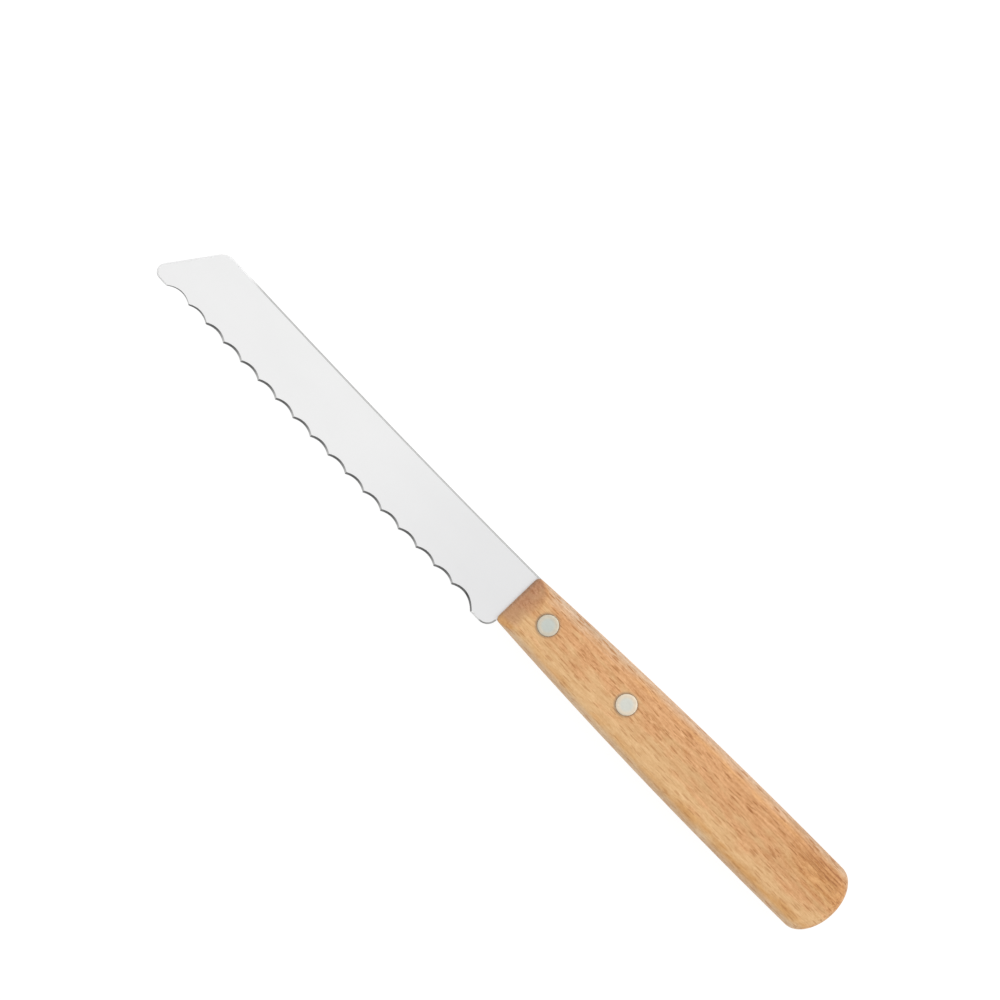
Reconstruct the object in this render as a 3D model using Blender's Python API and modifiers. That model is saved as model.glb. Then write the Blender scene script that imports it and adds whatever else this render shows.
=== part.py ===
"""Serrated table knife with a slotted beech handle, lying on its side.

All sizes are in metres. The pieces are drawn with X = 0 at the handle's front, +X towards the butt,
+Y towards the spine and Z = 0 in the middle of the blade's thickness. An empty then carries them
all, so that the knife lies on Z = 0 with the origin under the middle of its box.
"""
import math

import bmesh
import bpy

# Fit between pieces
CLEARANCE = 0.0003

# Handle
HANDLE_LENGTH = 0.1003
HANDLE_THICKNESS = 0.0120
HANDLE_TOP_FRONT = 0.0070
HANDLE_TOP_BUTT = 0.0108
HANDLE_TOP_CROWN = 0.00075
HANDLE_BOTTOM_FRONT = 0.0066
HANDLE_BOTTOM_BUTT = 0.0071
HANDLE_BOTTOM_CROWN = 0.0010
HANDLE_EDGE_RADIUS = 0.0032
BUTT_ROUND_LENGTH = 0.0058
FRONT_THICKNESS = 0.0050
FACET_LENGTH = 0.0042
FACET_BLEND_RADIUS = 0.0025
SAW_RADIUS = 0.060

# Rivets
RIVET_SHANK_DIAMETER = 0.0040
RIVET_HEAD_DIAMETER = 0.0050
RIVET_FLARE_DEPTH = 0.0008
FRONT_RIVET_SETBACK = 0.0092
RIVET_SPACING = 0.0250
RIVET_RISE = 0.0006

# Blade
BLADE_THICKNESS = 0.0009
BLADE_LENGTH = 0.1098
TANG_END_MARGIN = 0.0158
TANG_CORNER_RADIUS = 0.0008
SPINE_TIP_HEIGHT = 0.0072
SPINE_DIP = 0.0005
TIP_ANGLE = math.radians(55)
TIP_RADIUS = 0.0065
NOSE_DROP = 0.0079
NOSE_RADIUS = 0.0020
HEEL_DROP = 0.0096
HEEL_RADIUS = 0.0028
HEEL_OVERLAP = 0.0004
EDGE_BREAK = 0.00015

# Serrations
SCALLOP_PITCH = 0.00576
SCALLOP_DEPTH = 0.00085
HEEL_LENGTH = 0.0096
NOSE_LAND = 0.0050
POINT_LIFT_NOSE = 0.0006
POINT_LIFT_HEEL = 0.0012
EDGE_BELLY = 0.00045
GRIND_ANGLE = math.radians(25)
LAP_ANGLE = math.radians(28)
LAP_WIDTH = 0.00028

# Fineness of the curved surfaces
LONG_CURVE_STEPS = 12
BUTT_STEPS = 12
ARC_STEP = math.radians(6)
EDGE_ROUND_SEGMENTS = 6
EDGE_BREAK_SEGMENTS = 2
TURNED_STEPS = 48
WHEEL_STEPS = 96
SMOOTH_LIMIT = math.radians(30)
RIM_LIMIT = math.radians(60)
WELD_DISTANCE = 0.000001
FLAT_LIMIT = math.cos(math.radians(60))

# How far cutters and the sawn stock reach past the finished wood
STOCK_OVERLENGTH = 0.010
CUTTER_REACH = 0.030
TRIM_LIFT = 0.00002

COLOURS = {
    "steel": ((0.80, 0.80, 0.79, 1.0), 0.32, 1.0),
    "beech": ((0.68, 0.41, 0.20, 1.0), 0.55, 0.0),
    "aluminium": ((0.60, 0.62, 0.58, 1.0), 0.38, 1.0),
}


def clear_scene():
    """Empties the scene and makes one collection for the knife and one for its cutters."""
    for thing in list(bpy.data.objects):
        bpy.data.objects.remove(thing, do_unlink=True)
    collections = []
    for name in ("table_knife", "cutters"):
        collection = bpy.data.collections.new(name)
        bpy.context.scene.collection.children.link(collection)
        collections.append(collection)
    return collections


def finish(name):
    """A plain Principled material with the colour, roughness and metallic value of one stock."""
    colour, roughness, metallic = COLOURS[name]
    material = bpy.data.materials.new(name)
    material.use_nodes = True
    shader = material.node_tree.nodes["Principled BSDF"]
    shader.inputs["Base Color"].default_value = colour
    shader.inputs["Roughness"].default_value = roughness
    shader.inputs["Metallic"].default_value = metallic
    material.diffuse_color = colour
    return material


def make_cutter(thing):
    """Keeps a cutter out of the render and shows it as wire."""
    thing.hide_render = True
    thing.display_type = "WIRE"
    return thing


def cut(piece, cutter):
    """Takes the cutter's volume out of a piece."""
    modifier = piece.modifiers.new(cutter.name, "BOOLEAN")
    modifier.operation = "DIFFERENCE"
    modifier.solver = "EXACT"
    modifier.object = cutter


def round_rims(piece, width, segments):
    """Rounds the square rims of a plate."""
    modifier = piece.modifiers.new("rounded_rims", "BEVEL")
    modifier.width = width
    modifier.segments = segments
    modifier.limit_method = "ANGLE"
    modifier.angle_limit = RIM_LIMIT


def even_shading(piece):
    """Lets a piece's large faces set the shading, so that flats look flat beside rounded edges."""
    modifier = piece.modifiers.new("even_shading", "WEIGHTED_NORMAL")
    modifier.keep_sharp = True


def between(start, end, share):
    """The value that lies a share of the way from start to end."""
    return start + (end - start) * share


def arch(share, rise):
    """Height of a shallow arch over its chord, a share of the way along it."""
    return 4 * rise * share * (1 - share)


def rounded(corners):
    """A closed outline through (x, y, radius) corners, each rounded as far as its sides allow."""
    outline = []
    for index, (x, y, radius) in enumerate(corners):
        before = corners[index - 1]
        after = corners[(index + 1) % len(corners)]
        to_before = math.dist((x, y), before[:2])
        to_after = math.dist((x, y), after[:2])
        heading_in = math.atan2(y - before[1], x - before[0])
        heading_out = math.atan2(after[1] - y, after[0] - x)
        turn = math.remainder(heading_out - heading_in, math.tau)
        if radius == 0 or turn == 0:
            outline.append((x, y))
            continue
        reach = min(radius * math.tan(abs(turn) / 2), to_before, to_after)
        radius = reach / math.tan(abs(turn) / 2)
        side = math.copysign(1, turn)
        start_x = x - reach * math.cos(heading_in)
        start_y = y - reach * math.sin(heading_in)
        centre_x = start_x - side * radius * math.sin(heading_in)
        centre_y = start_y + side * radius * math.cos(heading_in)
        steps = math.ceil(abs(turn) / ARC_STEP)
        for step in range(steps + 1):
            heading = heading_in + turn * step / steps
            outline.append((centre_x + side * radius * math.sin(heading),
                            centre_y - side * radius * math.cos(heading)))
    return outline


def plate(name, outline, thickness, collection):
    """A flat piece of even thickness with a closed outline, centred on its own XY plane."""
    curve = bpy.data.curves.new(name, "CURVE")
    curve.dimensions = "2D"
    curve.fill_mode = "BOTH"
    curve.extrude = thickness / 2
    spline = curve.splines.new("POLY")
    spline.points.add(len(outline) - 1)
    for point, (x, y) in zip(spline.points, outline):
        point.co = (x, y, 0, 1)
    spline.use_cyclic_u = True
    drawing = bpy.data.objects.new(name + "_outline", curve)
    collection.objects.link(drawing)
    graph = bpy.context.evaluated_depsgraph_get()
    mesh = bpy.data.meshes.new_from_object(drawing.evaluated_get(graph))
    bpy.data.objects.remove(drawing, do_unlink=True)

    shape = bmesh.new()
    shape.from_mesh(mesh)
    bmesh.ops.remove_doubles(shape, verts=shape.verts, dist=WELD_DISTANCE)
    across_a_face = [edge for edge in shape.edges
                     if all(abs(face.normal.z) > FLAT_LIMIT for face in edge.link_faces)]
    bmesh.ops.dissolve_edges(shape, edges=across_a_face, use_verts=False)
    bmesh.ops.recalc_face_normals(shape, faces=shape.faces)
    shape.to_mesh(mesh)
    shape.free()
    return add_piece(name, mesh, collection)


def turned(name, profile, collection):
    """A turned piece: an (x, z) profile from its top to its bottom, spun round its own Z axis."""
    mesh = bpy.data.meshes.new(name)
    points = [(x, 0, z) for x, z in profile]
    links = [(index, index + 1) for index in range(len(points) - 1)]
    mesh.from_pydata(points, links, [])
    piece = add_piece(name, mesh, collection)
    spin = piece.modifiers.new("turned", "SCREW")
    spin.axis = "Z"
    spin.steps = TURNED_STEPS
    spin.render_steps = TURNED_STEPS
    spin.use_merge_vertices = True
    spin.merge_threshold = WELD_DISTANCE
    return piece


def add_piece(name, mesh, collection):
    """An object of the given name for a mesh, smooth except at its real corners."""
    mesh.name = name
    mesh.shade_smooth()
    mesh.set_sharp_from_angle(angle=SMOOTH_LIMIT)
    piece = bpy.data.objects.new(name, mesh)
    collection.objects.link(piece)
    return piece


def handle_edge(x, side):
    """Height of the handle's top edge (side 1) or bottom edge (side -1), x behind its front."""
    share = x / HANDLE_LENGTH
    top = between(HANDLE_TOP_FRONT, HANDLE_TOP_BUTT, share) + arch(share, HANDLE_TOP_CROWN)
    bottom = -between(HANDLE_BOTTOM_FRONT, HANDLE_BOTTOM_BUTT, share) - arch(share, HANDLE_BOTTOM_CROWN)
    into_butt = max(0, x - (HANDLE_LENGTH - BUTT_ROUND_LENGTH)) / BUTT_ROUND_LENGTH
    left = math.sqrt(max(0, 1 - into_butt ** 2))
    return (top + bottom) / 2 + side * left * (top - bottom) / 2


def handle_outline():
    """The handle seen from its side, drawn round from the stock's front over the top."""
    straight_end = HANDLE_LENGTH - BUTT_ROUND_LENGTH
    stations = [straight_end * step / LONG_CURVE_STEPS for step in range(LONG_CURVE_STEPS)]
    for step in range(BUTT_STEPS):
        turn = math.pi / 2 * step / BUTT_STEPS
        stations.append(straight_end + BUTT_ROUND_LENGTH * math.sin(turn))
    outline = [(-STOCK_OVERLENGTH, handle_edge(0, -1)), (-STOCK_OVERLENGTH, handle_edge(0, 1))]
    outline += [(x, handle_edge(x, 1)) for x in stations]
    outline.append((HANDLE_LENGTH, handle_edge(HANDLE_LENGTH, 1)))
    outline += [(x, handle_edge(x, -1)) for x in reversed(stations)]
    return outline


def tang_length():
    """The tang runs past the rear rivet by its end margin."""
    return FRONT_RIVET_SETBACK + RIVET_SPACING + TANG_END_MARGIN


def blade_outline():
    """The blade's blank with its tang, drawn round from the tang's end over the spine."""
    length = tang_length()
    nose_x = -BLADE_LENGTH + NOSE_RADIUS - NOSE_RADIUS / math.tan(TIP_ANGLE / 2)
    tip_x = nose_x + (NOSE_DROP + SPINE_TIP_HEIGHT) / math.tan(TIP_ANGLE)
    shares = [step / LONG_CURVE_STEPS for step in range(1, LONG_CURVE_STEPS)]

    corners = [(length, handle_edge(length, 1), TANG_CORNER_RADIUS)]
    corners += [(length * (1 - share), handle_edge(length * (1 - share), 1), 0) for share in shares]
    corners.append((0, HANDLE_TOP_FRONT, 0))
    for share in shares:
        height = between(HANDLE_TOP_FRONT, SPINE_TIP_HEIGHT, share) - arch(share, SPINE_DIP)
        corners.append((tip_x * share, height, 0))
    corners.append((tip_x, SPINE_TIP_HEIGHT, TIP_RADIUS))
    corners.append((nose_x, -NOSE_DROP, NOSE_RADIUS))
    corners.append((-HEEL_LENGTH, -HEEL_DROP, 0))
    corners.append((HEEL_OVERLAP, -HEEL_DROP, HEEL_RADIUS))
    corners.append((HEEL_OVERLAP, handle_edge(HEEL_OVERLAP, -1), 0))
    corners += [(length * share, handle_edge(length * share, -1), 0) for share in shares]
    corners.append((length, handle_edge(length, -1), TANG_CORNER_RADIUS))
    return rounded(corners)


def rivet_profile(room):
    """Half section of a rivet whose ends flare out, or with room of the hole that it fills."""
    shank = RIVET_SHANK_DIAMETER / 2 + room
    head = RIVET_HEAD_DIAMETER / 2 + room
    end = HANDLE_THICKNESS / 2
    neck = end - RIVET_FLARE_DEPTH
    past_end = end + room
    return [(0, past_end), (head, past_end), (head, end), (shank, neck),
            (shank, -neck), (head, -end), (head, -past_end), (0, -past_end)]


def rivet_places():
    """The two rivets' names and centres, which follow the middle of the handle's height."""
    places = []
    for name, x in (("rivet_front", FRONT_RIVET_SETBACK),
                    ("rivet_rear", FRONT_RIVET_SETBACK + RIVET_SPACING)):
        middle = (handle_edge(x, 1) + handle_edge(x, -1)) / 2
        places.append((name, (x, middle + RIVET_RISE, 0)))
    return places


def make_rivets(collection):
    """Two solid rivets, flush with the handle's sides."""
    rivets = []
    for name, centre in rivet_places():
        rivet = turned(name, rivet_profile(0), collection)
        rivet.location = centre
        rivet.data.materials.append(finish("aluminium"))
        even_shading(rivet)
        rivets.append(rivet)
    return rivets


def make_rivet_holes(collection):
    """Cutters for the rivets' holes through wood and tang."""
    holes = []
    for name, centre in rivet_places():
        hole = make_cutter(turned(name + "_hole", rivet_profile(CLEARANCE), collection))
        hole.location = centre
        holes.append(hole)
    return holes


def make_kerf(collection):
    """Cutter for the saw kerf that takes the tang, with the round end that the saw leaves."""
    tang_end = tang_length()
    corner_height = max(handle_edge(tang_end, 1), -handle_edge(tang_end, -1))
    centre = tang_end + CLEARANCE - math.sqrt(SAW_RADIUS ** 2 - corner_height ** 2)
    height = HANDLE_TOP_BUTT + HANDLE_BOTTOM_BUTT
    opening = math.asin(height / SAW_RADIUS)
    outline = [(-CUTTER_REACH, height), (-CUTTER_REACH, -height)]
    for step in range(LONG_CURVE_STEPS + 1):
        turn = opening * (2 * step / LONG_CURVE_STEPS - 1)
        outline.append((centre + SAW_RADIUS * math.cos(turn), SAW_RADIUS * math.sin(turn)))
    return make_cutter(plate("kerf", outline, BLADE_THICKNESS + 2 * CLEARANCE, collection))


def make_front_trim(collection):
    """Cutter that trims the stock square at X = 0 and slopes both its sides down to that end.

    Each slope runs out into its side in an arc, and from there the cutter stays clear of the wood.
    """
    half_front = FRONT_THICKNESS / 2
    slope = FACET_LENGTH / (HANDLE_THICKNESS / 2 - half_front)
    clear = HANDLE_THICKNESS / 2 + TRIM_LIFT
    top_x = slope * (clear - half_front)
    upper = [(0, half_front, 0), (top_x, clear, FACET_BLEND_RADIUS), (CUTTER_REACH, clear, 0),
             (CUTTER_REACH, CUTTER_REACH, 0), (-CUTTER_REACH, CUTTER_REACH, 0)]
    lower = [(x, -z, radius) for x, z, radius in reversed(upper)]
    trim = make_cutter(plate("front_trim", rounded(upper + lower), 2 * CUTTER_REACH, collection))
    trim.rotation_euler.x = math.pi / 2
    return trim


def make_handle(collection, cutters):
    """One piece of beech: rounded stock, trimmed in front, slotted and drilled."""
    handle = plate("handle", handle_outline(), HANDLE_THICKNESS, collection)
    handle.data.materials.append(finish("beech"))
    round_rims(handle, HANDLE_EDGE_RADIUS, EDGE_ROUND_SEGMENTS)
    for cutter in cutters:
        cut(handle, cutter)
    even_shading(handle)
    return handle


def point_line(x):
    """Height of the line through the serrations' points."""
    share = (-x - HEEL_LENGTH) / (BLADE_LENGTH - NOSE_LAND - HEEL_LENGTH)
    heel = -HEEL_DROP + POINT_LIFT_HEEL
    nose = -NOSE_DROP + POINT_LIFT_NOSE
    return between(heel, nose, share) - arch(share, EDGE_BELLY)


def make_wheels(side, angle, collection):
    """Cutters like a tilted grinding wheel, one a scallop, for one side of the blade.

    A wheel's rim runs through the cutting edge and rises from there to that side's face.
    """
    depth = SCALLOP_DEPTH * math.sin(angle)
    radius = ((SCALLOP_PITCH / 2) ** 2 + depth ** 2) / (2 * depth)
    edge_z = BLADE_THICKNESS / 2 - LAP_WIDTH * math.tan(LAP_ANGLE)
    serrated = BLADE_LENGTH - NOSE_LAND - HEEL_LENGTH + SCALLOP_PITCH / 2
    wheels = []
    for index in range(int(serrated / SCALLOP_PITCH)):
        x = -HEEL_LENGTH - SCALLOP_PITCH * index
        edge_y = point_line(x) + SCALLOP_DEPTH
        bpy.ops.mesh.primitive_cylinder_add(vertices=WHEEL_STEPS, radius=radius, depth=CUTTER_REACH)
        wheel = bpy.context.object
        wheel.name = f"wheel_{'upper' if side > 0 else 'lower'}_{index + 1}"
        wheel.location = (x, edge_y - radius * math.sin(angle), edge_z + side * radius * math.cos(angle))
        wheel.rotation_euler.x = side * (angle - math.pi / 2)
        for other in list(wheel.users_collection):
            other.objects.unlink(wheel)
        collection.objects.link(wheel)
        wheels.append(make_cutter(wheel))
    return wheels


def make_blade(collection, cutters):
    """One stamped sheet, blade and tang together, its edge ground in scallops."""
    blade = plate("blade", blade_outline(), BLADE_THICKNESS, collection)
    blade.data.materials.append(finish("steel"))
    round_rims(blade, EDGE_BREAK, EDGE_BREAK_SEGMENTS)
    for cutter in cutters:
        cut(blade, cutter)
    even_shading(blade)
    return blade


def place(pieces, collection):
    """Carries every piece on one empty that centres the knife's box over the origin."""
    outline = handle_outline() + blade_outline()
    lowest = min(y for x, y in outline)
    highest = max(y for x, y in outline)
    carrier = bpy.data.objects.new("table_knife_origin", None)
    collection.objects.link(carrier)
    carrier.location = ((BLADE_LENGTH - HANDLE_LENGTH) / 2, -(lowest + highest) / 2, HANDLE_THICKNESS / 2)
    for piece in pieces:
        piece.parent = carrier


def main():
    knife, cutters = clear_scene()
    holes = make_rivet_holes(cutters)
    lower_wheels = make_wheels(-1, GRIND_ANGLE, cutters)
    upper_wheels = make_wheels(1, LAP_ANGLE, cutters)
    blade = make_blade(knife, lower_wheels + upper_wheels + holes)
    handle = make_handle(knife, [make_front_trim(cutters), make_kerf(cutters)] + holes)
    rivets = make_rivets(knife)
    place([blade, handle] + rivets + list(cutters.objects), knife)


main()
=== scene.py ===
"""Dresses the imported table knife: satin steel blade, beech handle and two ground-off rivets.

It is laid out as an add-on and run as a script. All lengths are in metres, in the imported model's
own frame: +X runs along the knife to the butt of its handle, +Y to the blade's spine, and +Z up
out of the side that shows. Outlines are drawn with X = 0 at the handle's front and Y = 0 on the
line that both of its edges are measured from.
"""
import math

import bmesh
import bpy
from mathutils import Matrix, Vector


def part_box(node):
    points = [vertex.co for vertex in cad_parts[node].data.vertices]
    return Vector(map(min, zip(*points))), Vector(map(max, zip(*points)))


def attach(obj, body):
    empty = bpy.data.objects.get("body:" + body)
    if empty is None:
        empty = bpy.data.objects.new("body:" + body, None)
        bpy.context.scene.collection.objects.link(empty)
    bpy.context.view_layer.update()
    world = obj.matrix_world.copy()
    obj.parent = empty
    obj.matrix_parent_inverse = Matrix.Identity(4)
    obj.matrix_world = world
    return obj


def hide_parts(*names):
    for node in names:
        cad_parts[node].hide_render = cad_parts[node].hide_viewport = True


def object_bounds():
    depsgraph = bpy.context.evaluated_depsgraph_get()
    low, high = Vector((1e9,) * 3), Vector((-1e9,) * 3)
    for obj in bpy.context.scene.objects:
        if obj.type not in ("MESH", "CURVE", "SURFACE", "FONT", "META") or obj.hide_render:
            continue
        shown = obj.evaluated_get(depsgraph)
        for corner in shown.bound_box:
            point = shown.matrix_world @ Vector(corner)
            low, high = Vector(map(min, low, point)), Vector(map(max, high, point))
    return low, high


bl_info = {
    "name": "Table knife",
    "version": (1, 0, 0),
    "blender": (4, 5, 0),
    "location": "View3D > Sidebar > Table knife",
    "description": "Builds the visible blade, handle and rivets around the packed knife",
    "category": "Object",
}

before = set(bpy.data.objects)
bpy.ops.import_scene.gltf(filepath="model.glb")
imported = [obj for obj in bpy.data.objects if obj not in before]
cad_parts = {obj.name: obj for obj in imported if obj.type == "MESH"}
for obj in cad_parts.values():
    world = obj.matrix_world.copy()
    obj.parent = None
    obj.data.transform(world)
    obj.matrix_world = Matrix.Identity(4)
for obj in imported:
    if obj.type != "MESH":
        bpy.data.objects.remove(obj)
PACKED_LOW, PACKED_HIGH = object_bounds()
HANDLE_LOW, HANDLE_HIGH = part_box("handle")
BLADE_LOW, BLADE_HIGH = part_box("blade")
RIVET_LOW, RIVET_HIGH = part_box("rivet_front")
REAR_RIVET_LOW, REAR_RIVET_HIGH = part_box("rivet_rear")
RIVET_CENTRES = {"rivet_front": (RIVET_LOW + RIVET_HIGH) / 2,
                 "rivet_rear": (REAR_RIVET_LOW + REAR_RIVET_HIGH) / 2}
MILLIMETRE = 0.001


def size(name, description, default, **more):
    """A length property in metres."""
    return bpy.props.FloatProperty(
        name=name, description=description, default=default, unit="LENGTH", precision=5, **more)


def slope(name, description, degrees):
    """An angle property, given in degrees."""
    return bpy.props.FloatProperty(
        name=name, description=description, default=math.radians(degrees), subtype="ANGLE")


def share(name, description, default):
    """A property from 0 to 1."""
    return bpy.props.FloatProperty(
        name=name, description=description, default=default, min=0, max=1, subtype="FACTOR")


def colour(name, description, default):
    """A linear colour property."""
    return bpy.props.FloatVectorProperty(
        name=name, description=description, default=default, size=3, min=0, max=1, subtype="COLOR")


class HandleSizes(bpy.types.PropertyGroup):
    """Sizes of the beech handle."""
    length: size("Length", "From the front end to the butt", HANDLE_HIGH.x - HANDLE_LOW.x)
    thickness: size("Thickness", "Across the two flat sides", HANDLE_HIGH.z - HANDLE_LOW.z)
    top_front: size("Top front", "Height of the top edge at the front", 0.0070)
    top_butt: size("Top butt", "Height of the top edge's line at the butt", 0.0108)
    top_crown: size("Top crown", "Rise of the top edge over its straight line", 0.00075)
    bottom_front: size("Bottom front", "Depth of the bottom edge at the front", 0.0066)
    bottom_butt: size("Bottom butt", "Depth of the bottom edge's line at the butt", 0.0071)
    bottom_crown: size("Bottom crown", "Bulge of the bottom edge", 0.0010)
    butt_round: size("Butt round", "Length of the round end", 0.0058)
    edge_radius: size("Edge radius", "Rounding of the long edges and of the butt", 0.0032)
    front_thickness: size("Front thickness", "Between the slopes at the front end", 0.0050)
    facet_length: size("Slope length", "Length of the slopes at the front", 0.0042)
    sanding: size("Sanding", "How far sanding softened the slopes' corners", 0.0010)
    front_break: size("Front break", "Rounding of the front end's rim", 0.00045)
    front_corner: size("Front corner", "Rounding of the front corners, seen from the side", 0.0010)
    kerf_gap: size("Kerf gap", "From the tang to the wood on each side", 0.00003)
    tang_length: size("Kerf depth", "Length of the tang in the kerf", BLADE_HIGH.x - HANDLE_LOW.x)


class BladeSizes(bpy.types.PropertyGroup):
    """Sizes of the stamped and ground blade."""
    length: size("Length", "From the handle to the nose's straight sides", 0.10975)
    thickness: size("Thickness", "Of the sheet", BLADE_HIGH.z - BLADE_LOW.z)
    tang_corner: size("Tang corner", "Rounding of the tang's corners", 0.0008)
    spine_tip: size("Spine at tip", "Height of the spine at the tip", 0.0072)
    spine_dip: size("Spine dip", "Hollow of the spine's line", 0.0005)
    tip_angle: slope("Tip angle", "Between the slanted tip and the spine", 55)
    tip_radius: size("Tip radius", "Rounding from the spine into the slant", 0.0065)
    nose_drop: size("Nose drop", "Depth of the nose", 0.0079)
    nose_radius: size("Nose radius", "Rounding of the nose", 0.0020)
    heel_drop: size("Heel drop", "Depth of the heel", 0.0096)
    heel_radius: size("Heel radius", "Rounding of the heel", 0.0028)
    heel_overlap: size("Heel overlap", "How far the heel reaches past the wood's front", 0.0004)
    rim_break: size("Rim break", "Rounding of the blade's rims, in front of the wood", 0.00040)
    scallop_pitch: size("Scallop pitch", "From one serration's point to the next", 0.00576)
    scallop_depth: size("Scallop depth", "Depth of a scallop", 0.00085)
    heel_length: size("Heel length", "Plain edge in front of the handle", 0.0096)
    nose_land: size("Nose land", "Plain edge behind the nose", 0.0050)
    point_lift_nose: size("Lift at nose", "Points' line above the blank's edge at the nose", 0.0006)
    point_lift_heel: size("Lift at heel", "Points' line above the blank's edge at the heel", 0.0012)
    edge_belly: size("Edge belly", "Bulge of the points' line", 0.00045)
    hollow_angle: slope("Hollow angle", "Of the grinds on the hidden side", 25)
    lap_angle: slope("Lap angle", "Of the fine bevel on the visible side", 28)
    lap_width: size("Lap width", "Of the fine bevel", 0.00055)
    lap_nose: share("Lap at the nose", "Its width in the scallop next to the nose, as a share", 0.4)


class RivetSizes(bpy.types.PropertyGroup):
    """Sizes of the rivets."""
    head: size("Head", "Diameter of the head", RIVET_HIGH.x - RIVET_LOW.x)
    height: size("Height", "Over both heads", RIVET_HIGH.z - RIVET_LOW.z)
    rolled_rim: size("Rolled rim", "Width over which the head's rim rolls down", 0.00055)
    rim_drop: size("Rim drop", "How far the rim lies under the crown", 0.00012)
    hole_gap: size("Hole gap", "From the rivet to the wood round it", 0.00006)
    hole_lip: size("Hole lip", "Worn lip of the hole", 0.00010)
    shank: size("Shank", "Diameter between the heads", 0.0040)
    flare: size("Flare", "Depth of the countersunk head", 0.0008)


class Colours(bpy.types.PropertyGroup):
    """Linear colours of the finishes."""
    steel_tip: colour("Steel at tip", "Satin steel at the tip", (0.848, 0.848, 0.848))
    # Painted shade: the steel darkens towards the handle as the light does.
    steel_heel_shaded: colour("Steel at heel", "Satin steel near the handle", (0.777, 0.777, 0.782))
    hollow: colour("Hollows", "Ground hollows on the hidden side", (0.66, 0.66, 0.65))
    lap: colour("Fine bevel", "Fine bevel along the scallops", (0.58, 0.58, 0.575))
    # Painted shade: the fine bevel next to the heel is darkened.
    lap_heel_shade: colour("Fine bevel's end", "Where the wheel ran out at the heel", (0.20, 0.20, 0.20))
    # Painted shade: the spine's and the heel's rims are grey for the dark surround they mirror.
    rim: colour("Dull rim", "Rim of the spine and of the heel's round", (0.42, 0.42, 0.415))
    rim_bright: colour("Bright rim", "Rim at the tip and along the edge", (0.85, 0.85, 0.85))
    wood_gold: colour("Golden beech", "Pale lower part of the wood", (0.74, 0.452, 0.210))
    wood_rose: colour("Rosy beech", "Warmer upper part of the wood", (0.695, 0.357, 0.153))
    wood_orange: colour("Orange beech", "Oil-soaked patches along the edges", (0.70, 0.345, 0.095))
    # Painted sheen, not a colour of the wood: it lights the round edges pale.
    wood_sheen: colour("Pale beech", "Wood rubbed pale along the round edges", (0.64, 0.59, 0.49))
    wood_late: colour("Latewood", "Dark side of a growth ring", (0.475, 0.203, 0.062))
    wood_end: colour("End grain", "Where fibres are cut across", (0.48, 0.225, 0.115))
    wood_fleck: colour("Fleck", "Short dark rays", (0.365, 0.118, 0.026))
    rivet: colour("Front rivet", "Ground light metal", (0.553, 0.584, 0.543))
    rivet_rear: colour("Rear rivet", "Same metal, ground a little brighter", (0.649, 0.656, 0.60))
    # Painted shade along the handle's mouth and round the rivets, where some soil sits too.
    seam: colour("Seam", "Dirt round the rivets and along the handle's mouth", (0.20, 0.155, 0.11))
    floor: colour("Floor", "Pale floor", (0.80, 0.80, 0.80))


class StageSizes(bpy.types.PropertyGroup):
    """Camera, floor and lamps."""
    picture_width: size("Picture width", "Width of the picture at the blade's height", 0.2252)
    lens: bpy.props.FloatProperty(
        name="Lens", description="Focal length", default=200, unit="CAMERA")
    centre: bpy.props.FloatVectorProperty(
        name="Centre", description="Point in the middle of the picture", size=2, unit="LENGTH",
        default=(-0.0138, 0.0121))
    turn: slope("Turn", "Angle from the knife's X axis to the picture's right", 46.08)
    floor_size: size("Floor size", "Side of the square floor", 6.0)
    sky: bpy.props.FloatProperty(
        name="Sky", description="Strength of the white surround", default=0.84)
    lamp: bpy.props.FloatProperty(
        name="Lamp", description="Strength of the soft lamp", default=0.80)
    lamp_spread: slope("Lamp spread", "How soft the lamp is", 60)
    lamp_tilt: slope("Lamp tilt", "From straight above towards the spine's side", 50)
    lamp_turn: slope("Lamp turn", "From there towards the butt", 25)
    card_turn: slope("Card turn", "Direction of the dark card from the knife's X axis", -80)
    card_height: slope("Card height", "Height of the dark card over the floor", 30)
    card_spread: slope("Card spread", "Half the width of the dark card", 40)
    card_depth: share("Card depth", "How much light the dark card takes away", 0.88)
    floor_glow: bpy.props.FloatProperty(
        name="Floor glow", description="Strength of its glow, where it is seen", default=1.2)
    floor_share: share("Floor glow's share", "Glow against shaded paint, where it is seen", 0.72)


# Steps along a long curve, round a wheel or a turned piece, and round corners.
CURVE_STEPS = 48
ORIGIN_STEPS = 1000
ARC_STEP = math.radians(2.5)
WHEEL_STEPS = 360
TURNED_STEPS = 96
RIM_SEGMENTS = 3
BREAK_STEPS = 5
BUTT_STEPS = 44
ROUND_STEPS = 20
ACROSS_STEPS = 16

# Lengths of the handle's steps, which are finer in the zone of the slopes.
FRONT_ZONE = 0.0075
FRONT_STEP = 0.00015
SIDE_STEP = 0.0012

# What counts as a doubled point, as a flat face and as a round that is shaded smooth.
WELD_DISTANCE = 0.000001
FLAT_LIMIT = math.cos(math.radians(60))
SMOOTH_LIMIT = math.radians(32)

# The kerf's saw, how far cutters reach, and over how many scallops the fine bevel widens.
CUTTER_REACH = 0.030
SAW_RADIUS = 0.060
LAP_GROWTH = 2

# The blade's finishes, in the order of its material slots.
POLISHED, HOLLOW, LAP, RIM = range(4)

# Along X, where the fine bevel next to the heel runs out and is painted dark as shade.
RUN_OUT = (-0.0050, -0.0036)

# Where the wood turns rosy, over the handle's middle line, and where its dark figure begins and
# ends, behind the handle's front and over the middle line.
ROSY_HEIGHT = (-0.0042, 0.0052)
FIGURE_BACK = ((0.0835, 0.0885), (0.0985, 0.0945))
FIGURE_HEIGHT = ((0.0060, 0.0066), (0.0092, 0.0086))

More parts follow.
